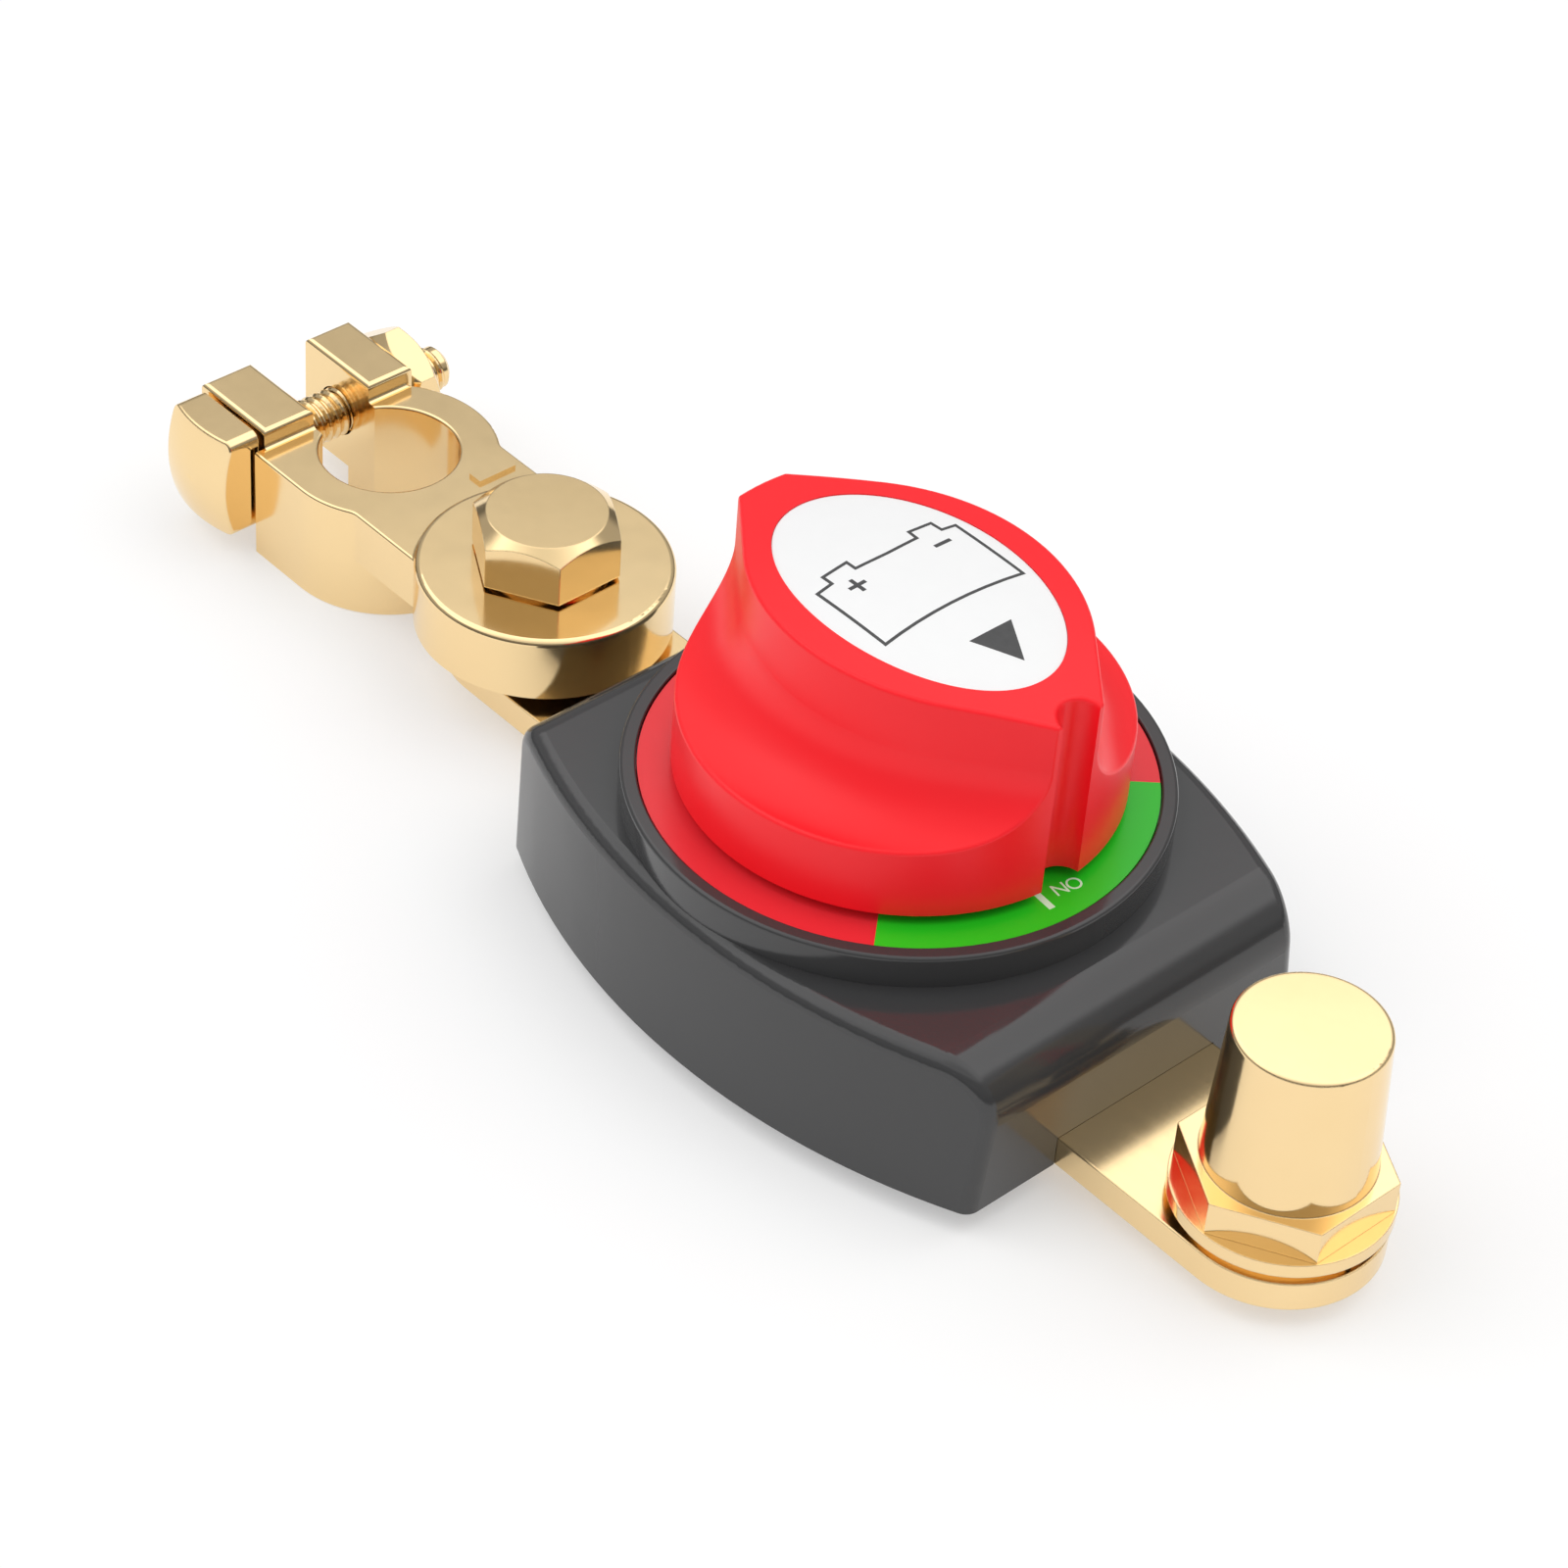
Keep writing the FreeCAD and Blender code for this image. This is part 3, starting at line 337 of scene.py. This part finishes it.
def added(name, mesh, material, body):
    """Makes a piece of its own from a bmesh, riding on a body."""
    bmesh.ops.remove_doubles(mesh, verts=mesh.verts, dist=WELD)
    bmesh.ops.recalc_face_normals(mesh, faces=mesh.faces)
    data = bpy.data.meshes.new(name)
    mesh.to_mesh(data)
    mesh.free()
    data.materials.append(material)
    piece = bpy.data.objects.new(name, data)
    bpy.context.scene.collection.objects.link(piece)
    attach(piece, body)


dial_mesh = bmesh.new()
stamped(dial_mesh, "ON", 0)
stamped(dial_mesh, "OFF", QUARTER_TURN)
added("dial_print", dial_mesh, finish("white_ink", {}, white_ink), "housing")

# Knob, moulded in glossy red plastic, hollow below and driven by the square of the spindle. Two
# scoops leave a grip across it, and a groove in one tip points at the dial.

KNOB_DEEP = (0.90, 0.008, 0.015, 1)
KNOB_LIGHT = (0.94, 0.011, 0.020, 1)


def glossy_red(place):
    flow = grain(place, 25)
    skin = grain(place, 300, 2)
    return {
        "Base Color": flow.mixed(KNOB_DEEP, KNOB_LIGHT),
        "Roughness": 0.30 + 0.06 * skin,
        "Normal": bumped(place, skin, 0.006),
    }


dress(finish("glossy_red", {"Specular IOR Level": 0.35}, glossy_red), "knob")

# Oval plate, moulded in white plastic with a slight dome. It is pressed into the seat in the
# knob's top, over the screw.

PLATE_SHADE = (0.815, 0.815, 0.815, 1)
PLATE_WHITE = (0.835, 0.835, 0.835, 1)


def white_plastic(place):
    sheen = grain(place, 400)
    return {
        "Base Color": sheen.mixed(PLATE_SHADE, PLATE_WHITE),
        "Roughness": 0.29 + 0.06 * sheen,
    }


dress(finish("white_plastic", {}, white_plastic), "knob_plate")

# Plate print, a line drawing of a battery and an arrow towards the knob's tip, in dark ink that
# follows the plate's dome. Its outline is in millimetres, with X towards the tip.

DARK_INK_FULL = (0.035, 0.035, 0.036, 1)
DARK_INK_THIN = (0.060, 0.060, 0.061, 1)
LINE_WIDE = 0.41
SIGN_WIDE = 0.52
SIGN_HALF = 1.2
STEP_LONG = 1.0
DOME_RADIUS = 170.0
BATTERY_SIDE = [(-5.7, -9.8), (-6.0, -7.4), (-7.5, -7.4), (-7.8, -3.6), (-6.35, -3.6), (-6.2, 1.0),
                (-6.3, 5.6), (-7.7, 5.7), (-7.5, 8.9), (-5.85, 9.0), (-5.6, 10.9)]
BOW_FROM, BOW_TO, BOW_MIDDLE = 10.9, -9.8, 0.5
BOW_LEAST, BOW_RISE = 4.57, 0.0066
BOW_STEPS = 8
ARROW = [(10.4, -2.2), (16.1, 0.7), (10.4, 4.1)]
ARROW_CUTS = 5
PLUS = Vector((-4.0, -5.45))
MINUS = Vector((-3.9, 7.3))
INK_SUNK = 0.02 * MM
plate_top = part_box("knob_plate")[1][2]


def dark_ink(place):
    cover = grain(place, 1200)
    return {
        "Base Color": cover.mixed(DARK_INK_FULL, DARK_INK_THIN),
        "Roughness": 0.4 + 0.1 * cover,
    }


def followers(items, closed):
    """What follows each item of a line. A closed line comes back to its first item."""
    return items[1:] + items[:1] if closed else items[1:]


def strokes(mesh, corners, wide, closed=False):
    """Adds a line of ink through corners in millimetres, mitred where it turns."""
    route = []
    for start, end in zip(corners, followers(corners, closed)):
        count = max(1, round((Vector(end) - Vector(start)).length / STEP_LONG))
        route += [Vector(start).lerp(Vector(end), number / count) for number in range(count)]
    if not closed:
        route.append(Vector(corners[-1]))
    ways = [(there - here).normalized() for here, there in zip(route, followers(route, closed))]
    rails = []
    for number, point in enumerate(route):
        arriving = ways[number - 1] if closed or number else ways[0]
        leaving = ways[min(number, len(ways) - 1)]
        across = (arriving + leaving).normalized().orthogonal()
        reach = wide / 2 / across.dot(leaving.orthogonal())
        rails.append([mesh.verts.new((*(point + across * reach * side) * MM, 0)) for side in (-1, 1)])
    for left, right in zip(rails, followers(rails, closed)):
        mesh.faces.new((left[0], right[0], right[1], left[1]))


bow = []
for number in range(BOW_STEPS + 1):
    y = BOW_FROM + (BOW_TO - BOW_FROM) * number / BOW_STEPS
    bow.append((BOW_LEAST + BOW_RISE * (y - BOW_MIDDLE) ** 2, y))
plate_mesh = bmesh.new()
strokes(plate_mesh, BATTERY_SIDE + bow, LINE_WIDE, closed=True)
half_bar = Vector((SIGN_HALF, 0))
half_stem = Vector((0, SIGN_HALF))
half_wide = Vector((0, SIGN_WIDE / 2))
strokes(plate_mesh, [PLUS - half_bar, PLUS + half_bar], SIGN_WIDE)
strokes(plate_mesh, [PLUS - half_stem, PLUS - half_wide], SIGN_WIDE)
strokes(plate_mesh, [PLUS + half_wide, PLUS + half_stem], SIGN_WIDE)
strokes(plate_mesh, [MINUS - half_stem, MINUS + half_stem], SIGN_WIDE)
arrow = plate_mesh.faces.new([plate_mesh.verts.new((x * MM, y * MM, 0)) for x, y in ARROW])
bmesh.ops.subdivide_edges(plate_mesh, edges=arrow.edges, cuts=ARROW_CUTS, use_grid_fill=True)
for vert in plate_mesh.verts:
    out = math.hypot(vert.co.x, vert.co.y) / MM
    vert.co.z = plate_top + (math.sqrt(DOME_RADIUS ** 2 - out ** 2) - DOME_RADIUS) * MM + INK_THICK
for face in plate_mesh.faces:
    face.normal_update()
    if face.normal.z < 0:
        face.normal_flip()
bmesh.ops.solidify(plate_mesh, geom=plate_mesh.faces[:], thickness=INK_THICK + INK_SUNK)
added("plate_print", plate_mesh, finish("dark_ink", {}, dark_ink), "rotor")

# Clamp arm, one brass casting, polished all over: a disc, a neck, a split ring and two ears. Its
# skin stays very slightly wavy under the polish.


def cast_brass(place):
    wave = grain(place, 110, 1)
    return {
        "Base Color": grain(place, 45).mixed(BRASS_DEEP, BRASS_LIGHT),
        "Roughness": 0.11 + 0.06 * grain(place, 600),
        "Normal": bumped(place, wave, 0.03),
    }


dress(finish("cast_brass", {"Metallic": 1.0}, cast_brass), "clamp_body")

# Screws, nut, washers and post, turned from brass bar and polished. The cutter leaves a short
# bright break on every edge.


def turned_brass(place):
    return {
        "Base Color": grain(place, 70).mixed(BRASS_DEEP, BRASS_LIGHT),
        "Roughness": 0.09 + 0.06 * grain(place, 900),
        "Normal": bumped(place, grain(place, 500, 1), 0.001, EDGE_BREAK),
    }


turned_finish = finish("turned_brass", {"Metallic": 1.0}, turned_brass)
dress(turned_finish, "post_terminal", "post_washer", "post_lock_washer", "arm_screw",
      "arm_lock_washer", "clamp_bolt", "clamp_nut")

# Bolt thread, rolled on the clamp bolt from its plain neck to its bare point, in the bolt's own
# brass. It leaves out the stretch that the nut hides.

THREAD_ROOT = 2.80
THREAD_CREST = 3.2
THREAD_PITCH = 1.25
FOOT_SHARE = 0.46
TIP_SHARE = 0.08
TURN_STEPS = 32
FADE_STEPS = TURN_STEPS / 2
NECK_END = -6.4 * MM
NUT_GAP = 0.1 * MM
BARE_POINT = 0.6 * MM
bolt_low, bolt_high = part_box("clamp_bolt")
nut_low, nut_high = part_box("clamp_nut")
bolt_x = (bolt_low.x + bolt_high.x) / 2
bolt_z = (nut_low.z + nut_high.z) / 2


def ridge(mesh, start, end):
    """Adds one helical ridge about the bolt's axis. It rises from the root and runs out again."""
    turns = (end - start) / MM / THREAD_PITCH - 1
    count = round(turns * TURN_STEPS)
    rings = []
    for number in range(count + 1):
        angle = 2 * math.pi * number / TURN_STEPS
        middle = start / MM + THREAD_PITCH * (0.5 + number / TURN_STEPS)
        grown = min(1, number / FADE_STEPS, (count - number) / FADE_STEPS)
        crest = THREAD_ROOT + (THREAD_CREST - THREAD_ROOT) * grown
        profile = ((THREAD_ROOT, -FOOT_SHARE), (crest, -TIP_SHARE),
                   (crest, TIP_SHARE), (THREAD_ROOT, FOOT_SHARE))
        ring = []
        for out, along in profile:
            ring.append(mesh.verts.new((bolt_x + out * math.sin(angle) * MM,
                                        (middle + along * THREAD_PITCH) * MM,
                                        bolt_z + out * math.cos(angle) * MM)))
        rings.append(ring)
    for one, two in zip(rings, rings[1:]):
        for side in range(len(one)):
            after = (side + 1) % len(one)
            mesh.faces.new((one[side], one[after], two[after], two[side]))
    mesh.faces.new(rings[0])
    mesh.faces.new(rings[-1])


thread_mesh = bmesh.new()
ridge(thread_mesh, NECK_END, nut_low.y - NUT_GAP)
ridge(thread_mesh, nut_high.y + NUT_GAP, bolt_high.y - BARE_POINT)
added("bolt_thread", thread_mesh, turned_finish, "clamp_arm")

# Studio: a pale paper floor, two broad soft lamps above it and a sky. Metal sees the sky grow
# brighter towards the top and dimmer towards the front. The floor carries a painted glow, which
# grows stronger further out and turns it white there, and near the switch only lightens its shadow.

FLOOR_HALF = 3.0
FLOOR_GAP = 0.2 * MM
PAPER_SHADE = (0.93, 0.93, 0.93, 1)
PAPER_WHITE = (0.95, 0.95, 0.95, 1)
SHADE_REACH = 0.45
LEAST_GLOW = 0.3
WHITE = (1, 1, 1, 1)
floor_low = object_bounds()[0][2] - FLOOR_GAP
floor_mesh = bpy.data.meshes.new("floor")
floor_corners = [(-FLOOR_HALF, -FLOOR_HALF, floor_low), (FLOOR_HALF, -FLOOR_HALF, floor_low),
                 (FLOOR_HALF, FLOOR_HALF, floor_low), (-FLOOR_HALF, FLOOR_HALF, floor_low)]
floor_mesh.from_pydata(floor_corners, [], [(0, 1, 2, 3)])
floor = bpy.data.objects.new("floor", floor_mesh)
bpy.context.scene.collection.objects.link(floor)


def paper(place):
    return {"Base Color": grain(place, 3).mixed(PAPER_SHADE, PAPER_WHITE)}


floor_paper = finish("paper", {"Roughness": 0.9, "Specular IOR Level": 0.0}, paper)
floor_mesh.materials.append(floor_paper)
tree = floor_paper.node_tree
place = Link(tree, tree.nodes.new("ShaderNodeTexCoord").outputs["Object"])
# Painted glow: a white emission on the floor, seen by the camera and in mirrors but not by diffuse
# light. It is weakest at the switch, where it lightens the floor's shadow, and full from SHADE_REACH
# out.
away = place.node("VectorMath", {"operation": "LENGTH"}, {0: place}, output="Value")
painted_glow_share = place.math("MINIMUM", 1.0, LEAST_GLOW + (1 - LEAST_GLOW) / SHADE_REACH * away)
unlit = place.node("LightPath", output="Is Diffuse Ray")
glow = place.node("Emission", inputs={"Color": WHITE, "Strength": 1.0})
matte = Link(tree, tree.nodes["Principled BSDF"].outputs["BSDF"])
sheet = place.node("MixShader", inputs={0: painted_glow_share * (1 - unlit), 1: matte, 2: glow})
tree.links.new(sheet.socket, tree.nodes["Material Output"].inputs["Surface"])


def lamp(name, stand, size, power):
    """A square soft lamp that looks at the switch. Mirrors see the sky in its place."""
    light = bpy.data.lights.new(name, "AREA")
    light.size = size
    light.energy = power
    holder = bpy.data.objects.new(name, light)
    holder.location = stand
    holder.rotation_euler = (-Vector(stand)).to_track_quat("-Z", "Y").to_euler()
    holder.visible_glossy = False
    bpy.context.scene.collection.objects.link(holder)


lamp("key", stand=(-0.5, -0.6, 1.0), size=1.1, power=5.8)
lamp("top", stand=(0.4, 0.5, 1.1), size=1.2, power=5.4)

FILL_LEVEL = 0.68
SKY_LEVEL = 1.5
SKY_BY_HEIGHT = [(0.0, 0.10), (0.16, 0.10), (0.30, 0.29), (0.55, 0.29), (0.60, 0.40), (0.64, 0.68),
                 (0.70, 1.15), (1.0, 0.90)]
FRONT = (0.71, -0.71, 0.0)
SKY_BY_FRONT = [(0.0, 1.0), (0.12, 0.95), (0.5, 0.52), (1.0, 0.45)]
world = bpy.data.worlds.new("studio")
bpy.context.scene.world = world
world.use_nodes = True
sky = world.node_tree
way = Link(sky, sky.nodes.new("ShaderNodeTexCoord").outputs["Generated"])
height = way.node("SeparateXYZ", inputs={"Vector": way}, output="Z")
level = height.node("ValToRGB", {"stops": SKY_BY_HEIGHT}, {"Fac": height})
front = way.node("VectorMath", {"operation": "DOT_PRODUCT"}, {0: way, 1: FRONT}, output="Value")
dimmed = way.node("ValToRGB", {"stops": SKY_BY_FRONT}, {"Fac": front})
glossy = way.node("LightPath", output="Is Glossy Ray")
through = way.node("LightPath", output="Is Transmission Ray")
fill = way.node("Background", inputs={"Color": WHITE, "Strength": FILL_LEVEL})
shown = way.node("Background", inputs={"Color": WHITE, "Strength": level * dimmed * SKY_LEVEL})
backdrop = way.node("Background", inputs={"Color": WHITE, "Strength": 1.0})
lit = way.node("MixShader", inputs={0: glossy + through, 1: fill, 2: shown})
seen = way.node("LightPath", output="Is Camera Ray")
whole = way.node("MixShader", inputs={0: seen, 1: lit, 2: backdrop})
sky.links.new(whole.socket, sky.nodes["World Output"].inputs["Surface"])

# Camera, at the photograph's own place and angle, with a long lens. Its place, angle and focal
# length were found by fitting it to the switch's edges.

AZIMUTH, ELEVATION, ROLL = 45.118, 40.538, 4.762
AIM = Vector((-25.14, 6.86, 0.0)) * MM
DISTANCE = 550.2 * MM
SENSOR_WIDE = 36.0
LENS = 105.02
camera_data = bpy.data.cameras.new("camera")
camera_data.sensor_width = SENSOR_WIDE
camera_data.lens = LENS
camera = bpy.data.objects.new("camera", camera_data)
turn = (Matrix.Rotation(math.radians(AZIMUTH), 4, "Z")
        @ Matrix.Rotation(math.radians(90 - ELEVATION), 4, "X")
        @ Matrix.Rotation(math.radians(ROLL), 4, "Z"))
camera.matrix_world = Matrix.Translation(AIM) @ turn @ Matrix.Translation((0, 0, DISTANCE))
bpy.context.scene.collection.objects.link(camera)
bpy.context.scene.camera = camera
bpy.context.scene.view_settings.view_transform = "Standard"
